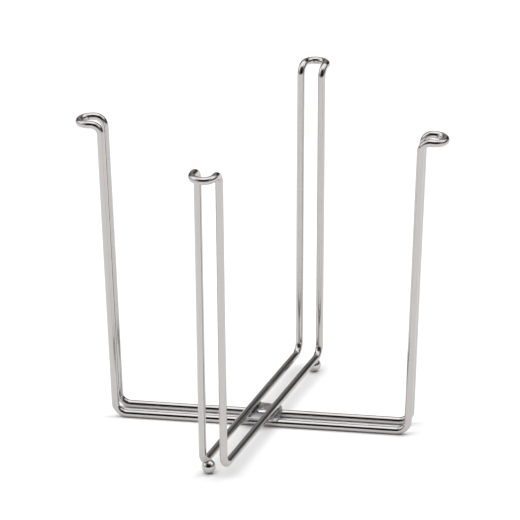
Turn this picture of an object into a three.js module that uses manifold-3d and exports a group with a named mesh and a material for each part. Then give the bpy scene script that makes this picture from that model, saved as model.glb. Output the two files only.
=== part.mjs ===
// A folding wire stand that holds a thin bag open on a table.
// Two U-shaped loops of round steel wire cross at a rivet in the middle of their base.
// Millimetres, +Z up. The origin is on the table, under the rivet.

import * as THREE from 'three';
import { mergeVertices } from 'three/addons/utils/BufferGeometryUtils.js';
import Module from 'manifold-3d';

const wasm = await Module();
wasm.setup();

// ---- driving dimensions ----

const WIRE_DIAMETER = 5;
const ROD_SPACING = 14.5; // between the centres of the two parallel rods of a loop
const FOOT_BEND_RADIUS = 8; // centreline, where the base turns up into a leg
const HOOK_BEND_RADIUS = 6.5; // centreline, where a leg turns outward at its top
const HOOK_STRAIGHT = 1.2;
const HOOK_DROOP = THREE.MathUtils.degToRad(3); // how far a hook points below level
const OPEN_ANGLE = THREE.MathUtils.degToRad(78); // from the outer to the inner loop

const PLATE = { length: 24, width: 20, thickness: 0.8, cornerRadius: 3, holeRadius: 2.65 };
const RIVET = { shankRadius: 2.5, headRadius: 4.2, headHeight: 1.5, tailRadius: 3.8, tailHeight: 1.3 };
const SLIP_WASHER = { outerRadius: 7, innerRadius: 2.65, thickness: 0.3 };
const TAIL_WASHER = { outerRadius: 4.3, innerRadius: 2.65, thickness: 0.8 };
const BALL = { radius: 4.75, reach: 83, offset: 6 }; // reach along the base, offset from its middle line

const STACK_GAP = 0.1; // between flat pieces that lie on each other
const WELD_GAP = 0.3; // between a ball and the wire let into it

// Heights of the stack at the rivet, from the table up.
const LOWER_PLATE_Z = WIRE_DIAMETER + STACK_GAP;
const SLIP_WASHER_Z = LOWER_PLATE_Z + PLATE.thickness + STACK_GAP;
const UPPER_PLATE_Z = SLIP_WASHER_Z + SLIP_WASHER.thickness + STACK_GAP;
const UPPER_PLATE_TOP_Z = UPPER_PLATE_Z + PLATE.thickness;
const TAIL_WASHER_Z = LOWER_PLATE_Z - STACK_GAP - TAIL_WASHER.thickness;
const INNER_BASE_Z = UPPER_PLATE_TOP_Z + STACK_GAP + WIRE_DIAMETER / 2;

// halfSpan: rivet to the corner of the leg. lean: how far a leg opens outward from upright.
// baseZ and topZ: heights of the wire's centreline at the base and at the crest of a hook.
const OUTER_LOOP = {
  halfSpan: 97.5,
  lean: THREE.MathUtils.degToRad(1.8),
  baseZ: WIRE_DIAMETER / 2,
  topZ: 208.3,
};
const INNER_LOOP = {
  halfSpan: 90,
  lean: THREE.MathUtils.degToRad(1),
  baseZ: INNER_BASE_Z,
  topZ: 216.4,
};

const SECTION_SIDES = 12;
const BEND_STEP = THREE.MathUtils.degToRad(10);
const ROUND_SEGMENTS = 40;
const MERGE_TOLERANCE = 1e-4;

// ---- solids ----

/** Welds a geometry's shared corners, keeping only positions. */
function welded(geometry) {
  const bare = geometry.clone();
  bare.deleteAttribute('normal');
  bare.deleteAttribute('uv');
  return mergeVertices(bare, MERGE_TOLERANCE);
}

function toSolid(geometry) {
  const mesh = welded(geometry);
  return new wasm.Manifold(new wasm.Mesh({
    numProp: 3,
    vertProperties: Float32Array.from(mesh.attributes.position.array),
    triVerts: Uint32Array.from(mesh.index.array),
  }));
}

function toGeometry(solid) {
  const mesh = solid.getMesh();
  const geometry = new THREE.BufferGeometry();
  geometry.setAttribute('position', new THREE.BufferAttribute(Float32Array.from(mesh.vertProperties), 3));
  geometry.setIndex(new THREE.BufferAttribute(Uint32Array.from(mesh.triVerts), 1));
  geometry.computeVertexNormals();
  return geometry;
}

// ---- bent wire ----

/** Follows a wire as it is bent, marking a station wherever its direction starts or stops changing. */
class WireBender {
  constructor(point, heading) {
    this.point = point.clone();
    this.heading = heading.clone();
    this.stations = [];
    this.mark();
  }

  mark() {
    this.stations.push({ point: this.point.clone(), heading: this.heading.clone() });
  }

  straight(length) {
    this.point.addScaledVector(this.heading, length);
    this.mark();
  }

  /** Turns about an axis square to the wire, through an angle, on a centreline radius. */
  bend(radius, angle, axis) {
    const steps = Math.ceil(angle / BEND_STEP);
    const toCentre = new THREE.Vector3().crossVectors(axis, this.heading).multiplyScalar(radius);
    const centre = this.point.clone().add(toCentre);
    const arm = toCentre.negate();
    for (let step = 0; step < steps; step += 1) {
      arm.applyAxisAngle(axis, angle / steps);
      this.heading.applyAxisAngle(axis, angle / steps);
      this.point.addVectors(centre, arm);
      this.mark();
    }
  }
}

/** A curve that visits the stations of a bent wire one by one. */
class WireRun extends THREE.Curve {
  constructor(stations) {
    super();
    this.stations = stations;
  }

  station(u) {
    return this.stations[Math.round(u * (this.stations.length - 1))];
  }

  getPointAt(u, target = new THREE.Vector3()) {
    return target.copy(this.station(u).point);
  }

  getTangentAt(u, target = new THREE.Vector3()) {
    return target.copy(this.station(u).heading);
  }
}

/** Height at which a leg stops being straight and its hook begins. */
function hookStartZ(loop) {
  return loop.topZ - HOOK_BEND_RADIUS * (1 - Math.sin(loop.lean));
}

/** Half a loop: out along the base, up a leg, round its hook, down and back to the middle. */
function bendHalfLoop(bender, loop, side) {
  const footTurn = Math.PI / 2 - loop.lean;
  const hookTurn = Math.PI / 2 - loop.lean + HOOK_DROOP;
  const baseLength = loop.halfSpan - FOOT_BEND_RADIUS * Math.tan(footTurn / 2);
  const legStartZ = loop.baseZ + FOOT_BEND_RADIUS * (1 - Math.cos(footTurn));
  const legLength = (hookStartZ(loop) - legStartZ) / Math.cos(loop.lean);
  const away = side.clone().negate();

  bender.straight(baseLength);
  bender.bend(FOOT_BEND_RADIUS, footTurn, away);
  bender.straight(legLength);
  bender.bend(HOOK_BEND_RADIUS, hookTurn, side);
  bender.straight(HOOK_STRAIGHT);
  bender.bend(ROD_SPACING / 2, Math.PI, new THREE.Vector3().crossVectors(side, bender.heading));
  bender.straight(HOOK_STRAIGHT);
  bender.bend(HOOK_BEND_RADIUS, hookTurn, away);
  bender.straight(legLength);
  bender.bend(FOOT_BEND_RADIUS, footTurn, side);
  bender.straight(baseLength);
}

/** A regular polygon around a circle, with a flat on each axis. */
function wireSection(diameter) {
  const cornerRadius = diameter / 2 / Math.cos(Math.PI / SECTION_SIDES);
  const points = [];
  for (let corner = 0; corner < SECTION_SIDES; corner += 1) {
    const angle = (2 * Math.PI * (corner + 0.5)) / SECTION_SIDES;
    points.push(new THREE.Vector2(cornerRadius * Math.cos(angle), cornerRadius * Math.sin(angle)));
  }
  return new THREE.Shape(points);
}

/** The whole loop as one endless wire. Its two end lids meet and are taken away. */
function wireLoopGeometry(loop, diameter) {
  const side = new THREE.Vector3(0, 1, 0);
  const start = new THREE.Vector3(0, ROD_SPACING / 2, loop.baseZ);
  const bender = new WireBender(start, new THREE.Vector3(1, 0, 0));
  bendHalfLoop(bender, loop, side);
  bendHalfLoop(bender, loop, side.clone().negate());

  const run = new WireRun(bender.stations);
  const swept = new THREE.ExtrudeGeometry(wireSection(diameter), {
    steps: bender.stations.length - 1,
    extrudePath: run,
  });
  const [, walls] = swept.groups;
  const positions = swept.attributes.position.array;
  const open = new THREE.BufferGeometry();
  const first = walls.start * 3;
  open.setAttribute('position', new THREE.BufferAttribute(positions.slice(first, first + walls.count * 3), 3));
  const closed = mergeVertices(open, MERGE_TOLERANCE);
  closed.computeVertexNormals();
  return closed;
}

// ---- pieces at the rivet ----

/** A flat plate with rounded corners and a hole, its underside at z = 0. */
function plateGeometry() {
  const { length, width, thickness, cornerRadius, holeRadius } = PLATE;
  const x = length / 2 - cornerRadius;
  const y = width / 2 - cornerRadius;
  const outline = new THREE.Shape();
  outline.absarc(x, y, cornerRadius, 0, Math.PI / 2);
  outline.absarc(-x, y, cornerRadius, Math.PI / 2, Math.PI);
  outline.absarc(-x, -y, cornerRadius, Math.PI, 1.5 * Math.PI);
  outline.absarc(x, -y, cornerRadius, 1.5 * Math.PI, 2 * Math.PI);
  outline.closePath();
  const hole = new THREE.Path();
  hole.absarc(0, 0, holeRadius, 0, 2 * Math.PI, true);
  outline.holes.push(hole);
  return new THREE.ExtrudeGeometry(outline, {
    depth: thickness,
    bevelEnabled: false,
    curveSegments: ROUND_SEGMENTS / 4,
  });
}

/** A flat ring with its underside at z = 0. */
function washerGeometry({ outerRadius, innerRadius, thickness }) {
  const profile = [
    new THREE.Vector2(innerRadius, 0),
    new THREE.Vector2(outerRadius, 0),
    new THREE.Vector2(outerRadius, thickness),
    new THREE.Vector2(innerRadius, thickness),
    new THREE.Vector2(innerRadius, 0),
  ];
  return new THREE.LatheGeometry(profile, ROUND_SEGMENTS).rotateX(Math.PI / 2);
}

/** Points of a domed head's outline, from its rim to its crown. The last lies on the axis. */
function domePoints(radius, height, seatZ, direction) {
  const points = [];
  const steps = 5;
  const rim = 0.25 * height;
  for (let step = 0; step <= steps; step += 1) {
    const angle = (Math.PI / 2) * (step / steps);
    const z = seatZ + direction * (rim + (height - rim) * Math.sin(angle));
    points.push(new THREE.Vector2(step === steps ? 0 : radius * Math.cos(angle), z));
  }
  return points;
}

/** The rivet: a domed head above the upper plate, a shank, and a domed tail under its washer. */
function rivetGeometry() {
  const headSeatZ = UPPER_PLATE_TOP_Z + STACK_GAP;
  const tailSeatZ = TAIL_WASHER_Z - STACK_GAP;
  const profile = [
    ...domePoints(RIVET.tailRadius, RIVET.tailHeight, tailSeatZ, -1).reverse(),
    new THREE.Vector2(RIVET.tailRadius, tailSeatZ),
    new THREE.Vector2(RIVET.shankRadius, tailSeatZ),
    new THREE.Vector2(RIVET.shankRadius, headSeatZ),
    new THREE.Vector2(RIVET.headRadius, headSeatZ),
    ...domePoints(RIVET.headRadius, RIVET.headHeight, headSeatZ, 1),
  ];
  return new THREE.LatheGeometry(profile, ROUND_SEGMENTS).rotateX(Math.PI / 2);
}

/** A ball that stands on the table, let into the wire of the inner loop above it. */
function ballGeometry(end) {
  const ball = new THREE.SphereGeometry(BALL.radius, 28, 18).rotateX(Math.PI / 2);
  ball.translate(end * BALL.reach, -end * BALL.offset, BALL.radius);
  const seat = wireLoopGeometry(INNER_LOOP, WIRE_DIAMETER + 2 * WELD_GAP);
  return toGeometry(toSolid(ball).subtract(toSolid(seat)));
}

// ---- assembly ----

function polishedSteel(color, roughness) {
  return new THREE.MeshStandardMaterial({ color, roughness, metalness: 1 });
}

function piece(name, geometry, material, z = 0) {
  const mesh = new THREE.Mesh(geometry, material);
  mesh.name = name;
  mesh.position.z = z;
  return mesh;
}

const outerLoop = new THREE.Group();
outerLoop.add(
  piece('outer_wire_loop', wireLoopGeometry(OUTER_LOOP, WIRE_DIAMETER), polishedSteel(0xc8cacf, 0.12)),
  piece('lower_pivot_plate', plateGeometry(), polishedSteel(0xbdbfc3, 0.25), LOWER_PLATE_Z),
  piece('slip_washer', washerGeometry(SLIP_WASHER), new THREE.MeshStandardMaterial({
    color: 0xe9e7df,
    roughness: 0.55,
    metalness: 0,
  }), SLIP_WASHER_Z),
  piece('rivet_tail_washer', washerGeometry(TAIL_WASHER), polishedSteel(0xb4b6ba, 0.3), TAIL_WASHER_Z),
  piece('pivot_rivet', rivetGeometry(), polishedSteel(0xc2c3c6, 0.2)),
);

const innerLoop = new THREE.Group();
innerLoop.rotation.z = OPEN_ANGLE;
innerLoop.add(
  piece('inner_wire_loop', wireLoopGeometry(INNER_LOOP, WIRE_DIAMETER), polishedSteel(0xc8cacf, 0.12)),
  piece('upper_pivot_plate', plateGeometry(), polishedSteel(0xbdbfc3, 0.25), UPPER_PLATE_Z),
  piece('front_ball_foot', ballGeometry(-1), polishedSteel(0xd0d1d4, 0.08)),
  piece('back_ball_foot', ballGeometry(1), polishedSteel(0xd0d1d4, 0.08)),
);

const stand = new THREE.Group();
stand.add(outerLoop, innerLoop);

export default stand;
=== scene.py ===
# The looks of a folding wire stand for thin bags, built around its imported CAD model. Metres, +Z up.
import math

import bmesh
import bpy
from mathutils import Matrix, Quaternion, Vector


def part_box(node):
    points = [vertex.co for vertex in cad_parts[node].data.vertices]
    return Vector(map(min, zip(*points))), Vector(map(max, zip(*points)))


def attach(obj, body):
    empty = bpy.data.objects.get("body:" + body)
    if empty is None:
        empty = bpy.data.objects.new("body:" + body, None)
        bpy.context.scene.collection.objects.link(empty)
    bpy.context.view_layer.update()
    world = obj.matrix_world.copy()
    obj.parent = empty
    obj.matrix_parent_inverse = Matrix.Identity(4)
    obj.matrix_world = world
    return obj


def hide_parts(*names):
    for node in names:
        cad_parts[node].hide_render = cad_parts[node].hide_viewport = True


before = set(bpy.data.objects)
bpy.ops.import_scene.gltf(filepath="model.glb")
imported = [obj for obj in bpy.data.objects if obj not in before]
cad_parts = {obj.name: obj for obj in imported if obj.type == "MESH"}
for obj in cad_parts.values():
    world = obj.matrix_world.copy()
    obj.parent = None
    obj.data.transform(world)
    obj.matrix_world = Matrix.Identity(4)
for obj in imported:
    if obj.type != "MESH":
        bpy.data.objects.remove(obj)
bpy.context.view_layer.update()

MM = 0.001
UP = Vector((0, 0, 1))

# ---- camera ----

CAMERA_AZIMUTH = math.radians(8.82)  # from straight in front, towards the right
CAMERA_ELEVATION = math.radians(24.17)
CAMERA_ROLL = math.radians(-0.28)
CAMERA_DISTANCE = 2.6214
CAMERA_TARGET = Vector((-0.00133, 0, 0.11646))
LENS_MM = 278.6
SENSOR_MM = 36


def add_camera():
    back = Vector((
        math.sin(CAMERA_AZIMUTH) * math.cos(CAMERA_ELEVATION),
        -math.cos(CAMERA_AZIMUTH) * math.cos(CAMERA_ELEVATION),
        math.sin(CAMERA_ELEVATION),
    ))
    right = UP.cross(back).normalized()
    tilt = Quaternion(back, CAMERA_ROLL)
    right = tilt @ right
    up = back.cross(right)
    data = bpy.data.cameras.new("camera")
    data.lens = LENS_MM
    data.sensor_width = SENSOR_MM
    data.clip_end = 60
    camera = bpy.data.objects.new("camera", data)
    turn = Matrix((right, up, back)).transposed().to_4x4()
    camera.matrix_world = Matrix.Translation(CAMERA_TARGET + back * CAMERA_DISTANCE) @ turn
    bpy.context.scene.collection.objects.link(camera)
    bpy.context.scene.camera = camera


add_camera()

# ---- dimensions of the wire's route, in metres ----

WIRE_RADIUS = 2.5 * MM
ROD_SPACING = 14.5 * MM
FOOT_BEND_RADIUS = 8 * MM
HOOK_BEND_RADIUS = 6.5 * MM
HOOK_STRAIGHT = 1.2 * MM
HOOK_DROOP = math.radians(3)
OPEN_ANGLE = math.radians(78)

OUTER_LOOP = {
    "half_span": 97.5 * MM,
    "lean": math.radians(1.8),
    "top": 208.3 * MM,
    "base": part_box("outer_wire_loop")[0].z + WIRE_RADIUS,
    "open": 0.0,
}
INNER_LOOP = {
    "half_span": 90 * MM,
    "lean": math.radians(1),
    "top": 216.4 * MM,
    "base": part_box("inner_wire_loop")[0].z + WIRE_RADIUS,
    "open": OPEN_ANGLE,
}

WIRE_SIDES = 32
BEND_STEP = math.radians(3)
STRAIGHT_STEP = 4 * MM

# ---- shader helpers ----


class Nodes:
    """A small hand for wiring a node tree."""

    def __init__(self, tree):
        self.tree = tree
        tree.nodes.clear()

    def add(self, kind, inputs=None, **settings):
        node = self.tree.nodes.new(kind)
        for name, value in settings.items():
            setattr(node, name, value)
        for name, value in (inputs or {}).items():
            self.feed(node.inputs[name], value)
        return node

    def feed(self, socket, value):
        if isinstance(value, bpy.types.NodeSocket):
            self.tree.links.new(value, socket)
        else:
            socket.default_value = value

    def math(self, operation, *values):
        node = self.tree.nodes.new("ShaderNodeMath")
        node.operation = operation
        for socket, value in zip(node.inputs, values):
            self.feed(socket, value)
        return node.outputs[0]

    def remap(self, value, low, high, to_low=0.0, to_high=1.0, smooth=False):
        node = self.add("ShaderNodeMapRange", {
            "Value": value, "From Min": low, "From Max": high, "To Min": to_low, "To Max": to_high,
        })
        if smooth:
            node.interpolation_type = "SMOOTHSTEP"
        return node.outputs["Result"]

    def band(self, value, low, high, feather):
        """1 between low and high, 0 outside, with soft edges."""
        rise = self.remap(value, low - feather, low + feather, smooth=True)
        fall = self.remap(value, high - feather, high + feather, 1.0, 0.0, smooth=True)
        return self.math("MULTIPLY", rise, fall)

    def mix(self, factor, first, second):
        node = self.add("ShaderNodeMix", data_type="RGBA")
        colour_sockets = [s for s in node.inputs if s.type == "RGBA"]
        self.feed(node.inputs[0], factor)
        self.feed(colour_sockets[0], first)
        self.feed(colour_sockets[1], second)
        return [s for s in node.outputs if s.type == "RGBA"][0]

    def noise(self, vector, scale, detail=3.0, roughness=0.55):
        node = self.add("ShaderNodeTexNoise", {
            "Vector": vector, "Scale": scale, "Detail": detail, "Roughness": roughness,
        })
        return node.outputs["Fac"]

    def stretched(self, vector, scale):
        return self.add("ShaderNodeMapping", {"Vector": vector, "Scale": scale}).outputs["Vector"]


# ---- studio ----

# What the steel mirrors above the floor. Elevation and azimuth bands are in degrees in the room:
# azimuth 0 is the side that the main view looks from, and +90 is that view's right. Later cards
# cover earlier ones.
STUDIO_BASE = (0.50, 0.49, 0.48, 1)
STUDIO_CARDS = [
    {"colour": (0.34, 0.34, 0.34, 1), "elevation": (-20, 48), "azimuth": (148, 200), "feather": 7},
    {"colour": (0.34, 0.34, 0.34, 1), "elevation": (-20, 48), "azimuth": (-200, -148), "feather": 7},
    {"colour": (1.6, 1.6, 1.6, 1), "elevation": (30, 62), "azimuth": (72, 128), "feather": 8},
    {"colour": (0.07, 0.07, 0.07, 1), "elevation": (-12, 28), "azimuth": (50, 116), "feather": 6},
    {"colour": (1.6, 1.6, 1.6, 1), "elevation": (14, 60), "azimuth": (-128, -72), "feather": 8},
    {"colour": (0.03, 0.03, 0.03, 1), "elevation": (0, 34), "azimuth": (128, 165), "feather": 6},
    {"colour": (0.12, 0.12, 0.12, 1), "elevation": (0, 34), "azimuth": (-165, -128), "feather": 6},
    {"colour": (1.8, 1.8, 1.8, 1), "elevation": (48, 100), "azimuth": (110, 200), "feather": 6},
    {"colour": (1.8, 1.8, 1.8, 1), "elevation": (48, 100), "azimuth": (-200, -110), "feather": 6},
    {"colour": (1.8, 1.8, 1.8, 1), "elevation": (66, 100), "azimuth": (-200, 200), "feather": 5},
    {"colour": (0.012, 0.012, 0.012, 1), "elevation": (3, 61), "azimuth": (-42, 42), "feather": 5},
]


def add_world():
    world = bpy.data.worlds.new("studio")
    bpy.context.scene.world = world
    world.use_nodes = True
    n = Nodes(world.node_tree)
    direction = n.add("ShaderNodeTexCoord").outputs["Generated"]
    x, y, z = n.add("ShaderNodeSeparateXYZ", {"Vector": direction}).outputs
    sine, cosine = math.sin(CAMERA_AZIMUTH), math.cos(CAMERA_AZIMUTH)
    front = n.math("SUBTRACT", n.math("MULTIPLY", x, sine), n.math("MULTIPLY", y, cosine))
    side = n.math("ADD", n.math("MULTIPLY", x, cosine), n.math("MULTIPLY", y, sine))
    elevation = n.math("DEGREES", n.math("ARCSINE", z))
    azimuth = n.math("DEGREES", n.math("ARCTAN2", side, front))
    colour = STUDIO_BASE
    for card in STUDIO_CARDS:
        tall = n.band(elevation, *card["elevation"], card["feather"])
        wide = n.band(azimuth, *card["azimuth"], card["feather"])
        colour = n.mix(n.math("MULTIPLY", tall, wide), colour, card["colour"])
    mirrored = n.add("ShaderNodeBackground", {"Color": colour})
    backdrop = n.add("ShaderNodeBackground", {"Color": (1, 1, 1, 1), "Strength": 1.0})
    seen = n.add("ShaderNodeLightPath").outputs["Is Camera Ray"]
    both = n.add("ShaderNodeMixShader", {0: seen, 1: mirrored.outputs[0], 2: backdrop.outputs[0]})
    n.add("ShaderNodeOutputWorld", {"Surface": both.outputs[0]})


def add_light(name, position, size, watts):
    data = bpy.data.lights.new(name, "AREA")
    data.shape = "DISK"
    data.size = size
    data.energy = watts
    light = bpy.data.objects.new(name, data)
    light.location = position
    light.rotation_euler = (-Vector(position)).to_track_quat("-Z", "Y").to_euler()
    light.visible_camera = False
    light.visible_glossy = False
    bpy.context.scene.collection.objects.link(light)


add_world()
add_light("key_light", (-1.2, -1.4, 3.0), 2.6, 38)
add_light("fill_light", (1.6, 0.8, 2.8), 2.6, 28)
bpy.context.scene.view_settings.view_transform = "Standard"

# ---- meshes ----


def loft(name, rings, closed=False):
    """A skin over rings of equally many points, closed on itself or capped by a fan at each end."""
    mesh = bmesh.new()
    rows = [[mesh.verts.new(point) for point in ring] for ring in rings]
    pairs = list(zip(rows, rows[1:]))
    if closed:
        pairs.append((rows[-1], rows[0]))
    count = len(rows[0])
    for low, high in pairs:
        for i in range(count):
            j = (i + 1) % count
            mesh.faces.new((low[i], low[j], high[j], high[i]))
    if not closed:
        for row in (rows[0], rows[-1]):
            centre = mesh.verts.new(sum((v.co for v in row), Vector()) / count)
            for i in range(count):
                mesh.faces.new((row[i], row[(i + 1) % count], centre))
    bmesh.ops.recalc_face_normals(mesh, faces=mesh.faces)
    for face in mesh.faces:
        face.smooth = True
    data = bpy.data.meshes.new(name)
    mesh.to_mesh(data)
    mesh.free()
    piece = bpy.data.objects.new(name, data)
    bpy.context.scene.collection.objects.link(piece)
    return piece


def add_point_data(piece, name, kind, values):
    """Stores one value for each point, in the order that loft made them."""
    attribute = piece.data.attributes.new(name, kind, "POINT")
    for slot, value in zip(attribute.data, values):
        if kind == "FLOAT_VECTOR":
            slot.vector = value
        else:
            slot.value = value


def join(name, pieces):
    """Makes several meshes one piece."""
    mesh = bmesh.new()
    for piece in pieces:
        mesh.from_mesh(piece.data)
        bpy.data.objects.remove(piece)
    data = bpy.data.meshes.new(name)
    mesh.to_mesh(data)
    mesh.free()
    joined = bpy.data.objects.new(name, data)
    bpy.context.scene.collection.objects.link(joined)
    return joined


def sharpen(piece, degrees=35):
    """Keeps the shading crisp over edges steeper than an angle."""
    mesh = bmesh.new()
    mesh.from_mesh(piece.data)
    for edge in mesh.edges:
        if len(edge.link_faces) == 2 and edge.calc_face_angle(0) > math.radians(degrees):
            edge.smooth = False
    mesh.to_mesh(piece.data)
    mesh.free()


def circle(radius, z, count):
    return [
        Vector((radius * math.cos(2 * math.pi * i / count), radius * math.sin(2 * math.pi * i / count), z))
        for i in range(count)
    ]


# ---- bent wire ----


class WireBender:
    """Follows a wire as it is bent, marking stations close enough together to look smooth."""

    def __init__(self, point, heading):
        self.point = point.copy()
        self.heading = heading.copy()
        self.stations = []
        self.length = 0.0
        self.mark(0)

    def mark(self, bent, bow=0.0):
        self.stations.append({
            "point": self.point.copy(),
            "heading": self.heading.copy(),
            "along": self.length,
            "bent": bent,
            "bow": bow,
        })

    def straight(self, length, bow=0.0):
        steps = max(1, math.ceil(length / STRAIGHT_STEP))
        for step in range(1, steps + 1):
            self.point += self.heading * (length / steps)
            self.length += length / steps
            self.mark(0, bow * math.sin(math.pi * step / steps))

    def bend(self, radius, angle, axis):
        steps = math.ceil(angle / BEND_STEP)
        to_centre = axis.cross(self.heading) * radius
        centre = self.point + to_centre
        arm = -to_centre
        turn = Quaternion(axis, angle / steps)
        for step in range(1, steps + 1):
            arm = turn @ arm
            self.heading = turn @ self.heading
            self.point = centre + arm
            self.length += radius * angle / steps
            self.mark(math.sin(math.pi * step / steps) ** 0.5 if step < steps else 0)


LEG_BOW = 0.12 * MM  # how far a leg strays from straight at its middle
SECOND_LEG_BOW = -0.6  # of the first rod's bow


def bend_half_loop(bender, loop, side, bow):
    foot_turn = math.pi / 2 - loop["lean"]
    hook_turn = foot_turn + HOOK_DROOP
    base_length = loop["half_span"] - FOOT_BEND_RADIUS * math.tan(foot_turn / 2)
    leg_start = loop["base"] + FOOT_BEND_RADIUS * (1 - math.cos(foot_turn))
    leg_end = loop["top"] - HOOK_BEND_RADIUS * (1 - math.sin(loop["lean"]))
    leg_length = (leg_end - leg_start) / math.cos(loop["lean"])
    bender.straight(base_length)
    bender.bend(FOOT_BEND_RADIUS, foot_turn, -side)
    bender.straight(leg_length, bow)
    bender.bend(HOOK_BEND_RADIUS, hook_turn, side)
    bender.straight(HOOK_STRAIGHT)
    bender.bend(ROD_SPACING / 2, math.pi, side.cross(bender.heading))
    bender.straight(HOOK_STRAIGHT)
    bender.bend(HOOK_BEND_RADIUS, hook_turn, -side)
    bender.straight(leg_length, SECOND_LEG_BOW * bow)
    bender.bend(FOOT_BEND_RADIUS, foot_turn, side)
    bender.straight(base_length)


def wire_stations(loop):
    side = Vector((0, 1, 0))
    bender = WireBender(Vector((0, ROD_SPACING / 2, loop["base"])), Vector((1, 0, 0)))
    bend_half_loop(bender, loop, side, LEG_BOW)
    bend_half_loop(bender, loop, -side, -LEG_BOW)
    stations = bender.stations[:-1]
    opened = Quaternion(UP, loop["open"])
    for station in stations:
        station["point"] = opened @ station["point"]
        station["heading"] = opened @ station["heading"]
    return stations


def carry_frames(stations):
    """Gives each station a direction square to the wire, with little twist and none at the join."""
    across = UP.copy()
    heading = stations[0]["heading"]
    for station in stations:
        across = heading.rotation_difference(station["heading"]) @ across
        heading = station["heading"]
        station["across"] = across.copy()
    first = stations[0]
    closing = heading.rotation_difference(first["heading"]) @ across
    twist = math.atan2(first["heading"].dot(closing.cross(first["across"])), closing.dot(first["across"]))
    for i, station in enumerate(stations):
        station["across"] = Quaternion(station["heading"], twist * i / len(stations)) @ station["across"]


BUTT_WELD_AT = 31 * MM  # along the wire from its first station
BUTT_WELD_REACH = 1.1 * MM
BUTT_WELD_RISE = 0.06 * MM
BEND_FLATTENING = 0.012  # of the wire's radius
BEND_WEAR = 0.45


def wire_loop(name, loop):
    stations = wire_stations(loop)
    carry_frames(stations)
    rings, coordinates, wear = [], [], []
    for station in stations:
        heading, across = station["heading"], station["across"]
        other = heading.cross(across)
        weld = math.exp(-((station["along"] - BUTT_WELD_AT) / BUTT_WELD_REACH) ** 2)
        centre = station["point"] + across * station["bow"]
        ring = []
        for i in range(WIRE_SIDES):
            angle = 2 * math.pi * i / WIRE_SIDES
            out = across * math.cos(angle) + other * math.sin(angle)
            rise = BUTT_WELD_RISE * weld * max(0.0, out.z)
            squeeze = 1 - BEND_FLATTENING * station["bent"] * math.cos(2 * angle) ** 2
            ring.append(centre + out * (WIRE_RADIUS * squeeze + rise))
            coordinates.append((math.cos(angle), math.sin(angle), station["along"]))
            wear.append(max(BEND_WEAR * station["bent"], weld))
        rings.append(ring)
    piece = loft(name, rings, closed=True)
    add_point_data(piece, "wire_place", "FLOAT_VECTOR", coordinates)
    add_point_data(piece, "wear", "FLOAT", wear)
    return piece, stations


# ---- pieces at the rivet ----

PLATE = {"length": 24 * MM, "width": 20 * MM, "corner": 3 * MM, "hole": 2.65 * MM, "edge": 0.18 * MM}
PLATE_POINTS = 96
RIVET_POINTS = 64


def rounded_outline(length, width, corner, inset, z):
    """Points of a rounded rectangle at even angles, so that they line up with a circle's."""
    half_x, half_y, corner = length / 2 - inset, width / 2 - inset, max(corner - inset, 1e-5)
    points = []
    for i in range(PLATE_POINTS):
        angle = 2 * math.pi * i / PLATE_POINTS
        dx, dy = math.cos(angle), math.sin(angle)
        reach = min(half_x / max(abs(dx), 1e-9), half_y / max(abs(dy), 1e-9))
        x, y = dx * reach, dy * reach
        cx, cy = half_x - corner, half_y - corner
        if abs(x) > cx and abs(y) > cy:
            # the ray meets the corner's arc instead
            ax, ay = math.copysign(cx, dx), math.copysign(cy, dy)
            along = dx * ax + dy * ay
            reach = along + math.sqrt(max(along ** 2 - (ax ** 2 + ay ** 2 - corner ** 2), 0))
            x, y = dx * reach, dy * reach
        points.append(Vector((x, y, z)))
    return points


def plate(name, node, turn):
    low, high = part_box(node)
    edge, hole = PLATE["edge"], PLATE["hole"]
    size = (PLATE["length"], PLATE["width"], PLATE["corner"])
    rings = [
        rounded_outline(*size, edge, low.z),
        rounded_outline(*size, edge * 0.3, low.z + edge * 0.3),
        rounded_outline(*size, 0, low.z + edge),
        rounded_outline(*size, 0, high.z - edge),
        rounded_outline(*size, edge * 0.3, high.z - edge * 0.3),
        rounded_outline(*size, edge, high.z),
        circle(hole + edge, high.z, PLATE_POINTS),
        circle(hole, high.z - edge, PLATE_POINTS),
        circle(hole, low.z + edge, PLATE_POINTS),
        circle(hole + edge, low.z, PLATE_POINTS),
    ]
    turned = Matrix.Rotation(turn, 3, "Z")
    piece = loft(name, [[turned @ p for p in ring] for ring in rings], closed=True)
    sharpen(piece)
    return piece


def washer(name, node, inner, edge):
    low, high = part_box(node)
    outer = (high.x - low.x) / 2
    rings = [
        circle(outer - edge, low.z, RIVET_POINTS),
        circle(outer, low.z + edge, RIVET_POINTS),
        circle(outer, high.z - edge, RIVET_POINTS),
        circle(outer - edge, high.z, RIVET_POINTS),
        circle(inner + edge, high.z, RIVET_POINTS),
        circle(inner, high.z - edge, RIVET_POINTS),
        circle(inner, low.z + edge, RIVET_POINTS),
        circle(inner + edge, low.z, RIVET_POINTS),
    ]
    piece = loft(name, rings, closed=True)
    sharpen(piece)
    return piece


STACK_GAP = 0.1 * MM
HEAD_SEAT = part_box("upper_pivot_plate")[1].z + STACK_GAP
TAIL_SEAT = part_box("rivet_tail_washer")[0].z - STACK_GAP
SHANK_RADIUS = 2.5 * MM
TAIL_RADIUS = 3.8 * MM
WASHER_HOLE = 2.65 * MM
DOME_STEPS = 12


def dome(radius, seat, crown, dimple):
    """(radius, height) pairs from a head's rim to near its middle, with its setting tool's dimple."""
    rim = seat + 0.25 * (crown - seat)
    points = [(radius * 0.97, seat), (radius, seat + 0.3 * (rim - seat))]
    for step in range(DOME_STEPS):
        angle = math.pi / 2 * step / DOME_STEPS
        points.append((radius * math.cos(angle), rim + (crown - rim) * math.sin(angle)))
    sink = 0.12 * (crown - seat) * dimple
    points += [
        (radius * 0.1, crown - 0.2 * sink),
        (radius * 0.06, crown - sink),
        (radius * 0.02, crown - 1.2 * sink),
    ]
    return points


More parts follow.
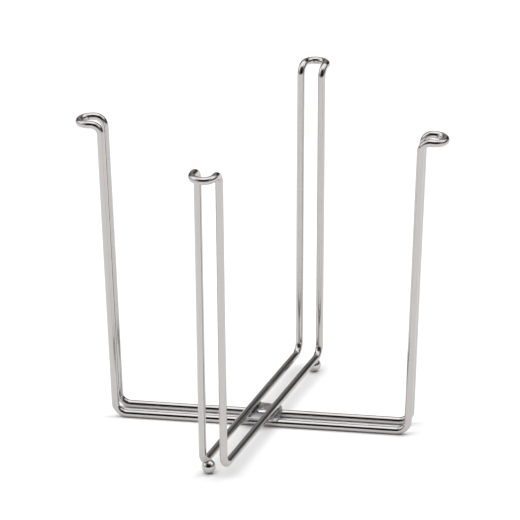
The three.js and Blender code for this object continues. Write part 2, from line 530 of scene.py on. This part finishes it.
def rivet(name):
    low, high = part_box("pivot_rivet")
    head_radius = (high.x - low.x) / 2
    profile = dome(TAIL_RADIUS, TAIL_SEAT, low.z, 3)[::-1]
    profile += [(SHANK_RADIUS, TAIL_SEAT), (SHANK_RADIUS, HEAD_SEAT)]
    profile += dome(head_radius, HEAD_SEAT, high.z, 1)
    piece = loft(name, [circle(r, z, RIVET_POINTS) for r, z in profile])
    sharpen(piece, 50)
    return piece


# ---- welds ----

BEAD_RADIUS = 0.5 * MM
BEAD_LENGTH = 4.6 * MM
BEAD_SIDES = 12
BEAD_STEPS = 22


def weld_bead(name, centre, along):
    """A short rippled fillet of weld metal."""
    across = UP.cross(along).normalized()
    rings = []
    for step in range(1, BEAD_STEPS):
        t = 2 * step / BEAD_STEPS - 1
        girth = BEAD_RADIUS * math.sqrt(1 - t ** 4) * (1 + 0.08 * math.cos(9 * math.pi * t))
        ring = []
        for i in range(BEAD_SIDES):
            angle = 2 * math.pi * i / BEAD_SIDES
            out = across * math.cos(angle) + UP * math.sin(angle)
            ring.append(centre + along * (t * BEAD_LENGTH / 2) + out * girth)
        rings.append(ring)
    return loft(name, rings)


BEAD_AT = 8.2 * MM  # from the rivet along the rods
BEAD_OFF_ROD = 1.9 * MM  # from a rod's middle line, where rod and plate are a bead apart
BEAD_RISE = 0.45 * MM  # of its middle from the plate's face


def plate_welds(name, plate_face, direction, turn):
    """Beads where the rods lie on a plate. direction is +1 where the rods are above it."""
    beads = []
    turned = Matrix.Rotation(turn, 3, "Z")
    height = plate_face + direction * BEAD_RISE
    for end in (-1, 1):
        for rod in (-1, 1):
            for flank in (-1, 1):
                y = rod * ROD_SPACING / 2 + flank * BEAD_OFF_ROD
                centre = turned @ Vector((end * BEAD_AT, y, height))
                beads.append(weld_bead("bead", centre, turned @ Vector((1, 0, 0))))
    return join(name, beads)


COLLAR_RADIUS = 0.38 * MM
COLLAR_POINTS = 72
COLLAR_SIDES = 10
COLLAR_SEARCH_REACH = 16 * MM  # only the wire this near a ball's middle is looked at
COLLAR_WIDEST = math.radians(140)
COLLAR_HALVINGS = 24


def distance_to_wire(point, stations):
    best = 1.0
    for a, b in zip(stations, stations[1:]):
        span = b["point"] - a["point"]
        t = min(1.0, max(0.0, (point - a["point"]).dot(span) / span.length_squared))
        best = min(best, (point - a["point"] - span * t).length)
    return best


def ball_place(node):
    low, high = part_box(node)
    return (low + high) / 2, (high.z - low.z) / 2


def stations_near(stations, centre):
    near = [i for i, s in enumerate(stations) if (s["point"] - centre).length < COLLAR_SEARCH_REACH]
    return stations[min(near):max(near) + 1]


def collar(name, centre, radius, stations):
    """The bead of weld along the line where a ball meets its wire."""
    nearest = min(stations, key=lambda s: (s["point"] - centre).length)
    toward = (nearest["point"] - centre).normalized()
    first = nearest["heading"].cross(toward).normalized()
    second = toward.cross(first)
    path = []
    for i in range(COLLAR_POINTS):
        turn = 2 * math.pi * i / COLLAR_POINTS
        sideways = first * math.cos(turn) + second * math.sin(turn)
        low, high = 0.0, COLLAR_WIDEST
        for _ in range(COLLAR_HALVINGS):
            middle = (low + high) / 2
            spot = centre + (toward * math.cos(middle) + sideways * math.sin(middle)) * radius
            if distance_to_wire(spot, stations) < WIRE_RADIUS:
                low = middle
            else:
                high = middle
        path.append(centre + (toward * math.cos(low) + sideways * math.sin(low)) * radius)
    rings = []
    for i, point in enumerate(path):
        heading = (path[(i + 1) % COLLAR_POINTS] - path[i - 1]).normalized()
        out = (point - centre).normalized()
        out = (out - heading * out.dot(heading)).normalized()
        other = heading.cross(out)
        girth = COLLAR_RADIUS * (1 + 0.1 * math.cos(11 * 2 * math.pi * i / COLLAR_POINTS))
        ring = []
        for k in range(COLLAR_SIDES):
            angle = 2 * math.pi * k / COLLAR_SIDES
            ring.append(point + (out * math.cos(angle) + other * math.sin(angle)) * girth)
        rings.append(ring)
    return loft(name, rings, closed=True)


BALL_POINTS = 72
BALL_RINGS = 44
WORN_FLAT = 0.03 * MM


def ball(name, centre, radius):
    """A ball with the small flat that its bottom wears on the table."""
    rings = []
    for step in range(1, BALL_RINGS):
        angle = math.pi * step / BALL_RINGS
        z = centre.z - radius * math.cos(angle)
        ring = circle(radius * math.sin(angle), max(z, centre.z - radius + WORN_FLAT), BALL_POINTS)
        rings.append([p + Vector((centre.x, centre.y, 0)) for p in ring])
    return loft(name, rings)


# ---- materials ----


def new_material(name):
    material = bpy.data.materials.new(name)
    material.use_nodes = True
    n = Nodes(material.node_tree)
    shader = n.add("ShaderNodeBsdfPrincipled")
    n.add("ShaderNodeOutputMaterial", {"Surface": shader.outputs[0]})
    return material, n, shader


def object_place(n):
    return n.add("ShaderNodeTexCoord").outputs["Object"]


def set_bump(n, shader, height, distance, strength):
    bump = n.add("ShaderNodeBump", {"Height": height, "Distance": distance, "Strength": strength})
    n.feed(shader.inputs["Normal"], bump.outputs["Normal"])


def wire_material():
    """Bright drawn steel: fine lines along the wire, faint smudges, duller where it was bent or welded."""
    material, n, shader = new_material("polished_wire")
    along = n.add("ShaderNodeAttribute", attribute_name="wire_place").outputs["Vector"]
    wear = n.add("ShaderNodeAttribute", attribute_name="wear").outputs["Fac"]
    lines = n.noise(n.stretched(along, (9, 9, 14)), 3.0, 5)
    hairlines = n.noise(n.stretched(along, (40, 40, 60)), 2.0, 2)
    smudges = n.noise(object_place(n), 45, 4)
    specks = n.remap(n.noise(object_place(n), 1400, 2), 0.68, 0.76)
    tone = n.mix(n.remap(lines, 0.3, 0.7), (0.435, 0.419, 0.408, 1), (0.53, 0.51, 0.496, 1))
    tone = n.mix(n.math("MULTIPLY", wear, 0.25), tone, (0.42, 0.41, 0.41, 1))
    tone = n.mix(n.math("MULTIPLY", specks, 0.35), tone, (0.30, 0.29, 0.30, 1))
    n.feed(shader.inputs["Base Color"], tone)
    shader.inputs["Metallic"].default_value = 1.0
    rough = n.remap(smudges, 0.35, 0.7, 0.06, 0.13)
    rough = n.math("ADD", rough, n.remap(lines, 0.35, 0.75, 0.0, 0.06))
    rough = n.math("ADD", rough, n.math("MULTIPLY", wear, 0.10))
    n.feed(shader.inputs["Roughness"], rough)
    grain = n.math("ADD", n.math("MULTIPLY", lines, 0.5), n.math("MULTIPLY", hairlines, 0.5))
    set_bump(n, shader, grain, 0.02 * MM, 0.18)
    return material


def ball_material():
    """A bright rolled ball with faint handling marks."""
    material, n, shader = new_material("ball_steel")
    place = object_place(n)
    marks = n.noise(n.stretched(place, (500, 900, 300)), 1.0, 4)
    haze = n.noise(place, 320, 3)
    tone = n.mix(n.remap(haze, 0.35, 0.7), (0.56, 0.55, 0.54, 1), (0.50, 0.49, 0.485, 1))
    n.feed(shader.inputs["Base Color"], tone)
    shader.inputs["Metallic"].default_value = 1.0
    n.feed(shader.inputs["Roughness"], n.remap(haze, 0.35, 0.75, 0.03, 0.1))
    set_bump(n, shader, marks, 0.01 * MM, 0.12)
    return material


def plate_material():
    """Stamped steel, tumbled: fine scratches one way, a few the other, slightly dull."""
    material, n, shader = new_material("plate_steel")
    place = object_place(n)
    brushed = n.noise(n.stretched(place, (250, 5000, 2500)), 1.0, 4)
    scratches = n.noise(n.stretched(place, (4200, 300, 2500)), 1.0, 2)
    patches = n.noise(place, 260, 4)
    tone = n.mix(n.remap(patches, 0.35, 0.7), (0.60, 0.60, 0.62, 1), (0.50, 0.50, 0.51, 1))
    tone = n.mix(n.remap(brushed, 0.6, 0.8, 0.0, 0.35), tone, (0.76, 0.76, 0.77, 1))
    n.feed(shader.inputs["Base Color"], tone)
    shader.inputs["Metallic"].default_value = 1.0
    n.feed(shader.inputs["Roughness"], n.remap(brushed, 0.3, 0.75, 0.20, 0.38))
    both = n.math("ADD", n.math("MULTIPLY", brushed, 0.6), n.math("MULTIPLY", scratches, 0.4))
    set_bump(n, shader, both, 0.03 * MM, 0.35)
    return material


def rivet_material():
    """Headed steel with the faint rings of its setting tool."""
    material, n, shader = new_material("rivet_steel")
    place = object_place(n)
    x, y, _ = n.add("ShaderNodeSeparateXYZ", {"Vector": place}).outputs
    radius = n.math("SQRT", n.math("ADD", n.math("MULTIPLY", x, x), n.math("MULTIPLY", y, y)))
    uneven = n.noise(place, 420, 3)
    rings = n.math("SINE", n.math("ADD", n.math("MULTIPLY", radius, 22000), n.math("MULTIPLY", uneven, 9)))
    tone = n.mix(n.remap(uneven, 0.35, 0.7), (0.66, 0.66, 0.68, 1), (0.55, 0.55, 0.57, 1))
    n.feed(shader.inputs["Base Color"], tone)
    shader.inputs["Metallic"].default_value = 1.0
    n.feed(shader.inputs["Roughness"], n.remap(uneven, 0.3, 0.75, 0.14, 0.28))
    set_bump(n, shader, n.remap(rings, -1, 1), 0.01 * MM, 0.2)
    return material


def weld_material():
    """Weld metal: uneven, and tinted straw and blue by its heat."""
    material, n, shader = new_material("weld_steel")
    place = object_place(n)
    heat = n.noise(place, 520, 3)
    grain = n.noise(place, 2600, 4)
    tone = n.mix(n.remap(heat, 0.42, 0.58), (0.46, 0.45, 0.44, 1), (0.50, 0.44, 0.34, 1))
    tone = n.mix(n.remap(heat, 0.58, 0.7), tone, (0.33, 0.35, 0.44, 1))
    n.feed(shader.inputs["Base Color"], tone)
    shader.inputs["Metallic"].default_value = 1.0
    n.feed(shader.inputs["Roughness"], n.remap(grain, 0.3, 0.75, 0.25, 0.5))
    set_bump(n, shader, grain, 0.06 * MM, 0.4)
    return material


def nylon_material():
    """Natural nylon, a little cloudy."""
    material, n, shader = new_material("nylon")
    place = object_place(n)
    clouds = n.noise(place, 300, 4)
    grain = n.noise(place, 4000, 2)
    tone = n.mix(n.remap(clouds, 0.35, 0.7), (0.84, 0.82, 0.76, 1), (0.74, 0.72, 0.66, 1))
    n.feed(shader.inputs["Base Color"], tone)
    n.feed(shader.inputs["Roughness"], n.remap(clouds, 0.3, 0.7, 0.42, 0.58))
    shader.inputs["Subsurface Weight"].default_value = 0.15
    shader.inputs["Subsurface Scale"].default_value = 0.4 * MM
    set_bump(n, shader, grain, 0.02 * MM, 0.25)
    return material


def floor_material():
    material, n, shader = new_material("white_floor")
    patches = n.noise(object_place(n), 3, 2)
    tone = n.mix(patches, (0.90, 0.90, 0.905, 1), (0.915, 0.915, 0.915, 1))
    n.feed(shader.inputs["Base Color"], tone)
    shader.inputs["Roughness"].default_value = 0.9
    shader.inputs["Specular IOR Level"].default_value = 0.0
    return material


WIRE_STEEL = wire_material()
BALL_STEEL = ball_material()
PLATE_STEEL = plate_material()
RIVET_STEEL = rivet_material()
WELD_STEEL = weld_material()
NYLON = nylon_material()


def finish_piece(piece, material, body, slot, *nodes):
    piece.data.materials.append(material)
    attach(piece, body)
    if nodes:
        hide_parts(*nodes)


# ---- assembly ----

outer_wire, outer_stations = wire_loop("outer_wire", OUTER_LOOP)
inner_wire, inner_stations = wire_loop("inner_wire", INNER_LOOP)
finish_piece(outer_wire, WIRE_STEEL, "outer_frame", "polished_wire", "outer_wire_loop")
finish_piece(inner_wire, WIRE_STEEL, "inner_frame", "polished_wire", "inner_wire_loop")

lower_plate = plate("lower_plate", "lower_pivot_plate", 0)
upper_plate = plate("upper_plate", "upper_pivot_plate", OPEN_ANGLE)
finish_piece(lower_plate, PLATE_STEEL, "outer_frame", "pivot_plate", "lower_pivot_plate")
finish_piece(upper_plate, PLATE_STEEL, "inner_frame", "pivot_plate", "upper_pivot_plate")

lower_welds = plate_welds("lower_plate_welds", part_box("lower_pivot_plate")[0].z, -1, 0)
upper_welds = plate_welds("upper_plate_welds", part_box("upper_pivot_plate")[1].z, 1, OPEN_ANGLE)
finish_piece(lower_welds, WELD_STEEL, "outer_frame", "pivot_plate")
finish_piece(upper_welds, WELD_STEEL, "inner_frame", "pivot_plate")

finish_piece(rivet("rivet"), RIVET_STEEL, "outer_frame", "rivet", "pivot_rivet")
nylon_washer = washer("nylon_washer", "slip_washer", WASHER_HOLE, 0.05 * MM)
tail_washer = washer("tail_washer", "rivet_tail_washer", WASHER_HOLE, 0.12 * MM)
finish_piece(nylon_washer, NYLON, "outer_frame", "nylon", "slip_washer")
finish_piece(tail_washer, PLATE_STEEL, "outer_frame", "rivet", "rivet_tail_washer")

for place_name in ("front", "back"):
    node = f"{place_name}_ball_foot"
    centre, radius = ball_place(node)
    near = stations_near(inner_stations, centre)
    finish_piece(ball(f"{place_name}_ball", centre, radius), BALL_STEEL, "inner_frame", "ball", node)
    finish_piece(collar(f"{place_name}_ball_weld", centre, radius, near), WELD_STEEL, "inner_frame", "ball")

# ---- floor ----

FLOOR_HALF = 20.0  # metres from its middle to each edge


def add_floor():
    corners = [(-1, -1), (1, -1), (1, 1), (-1, 1)]
    mesh = bmesh.new()
    mesh.faces.new([mesh.verts.new((x * FLOOR_HALF, y * FLOOR_HALF, 0)) for x, y in corners])
    data = bpy.data.meshes.new("floor")
    mesh.to_mesh(data)
    mesh.free()
    floor = bpy.data.objects.new("floor", data)
    floor.data.materials.append(floor_material())
    bpy.context.scene.collection.objects.link(floor)


add_floor()
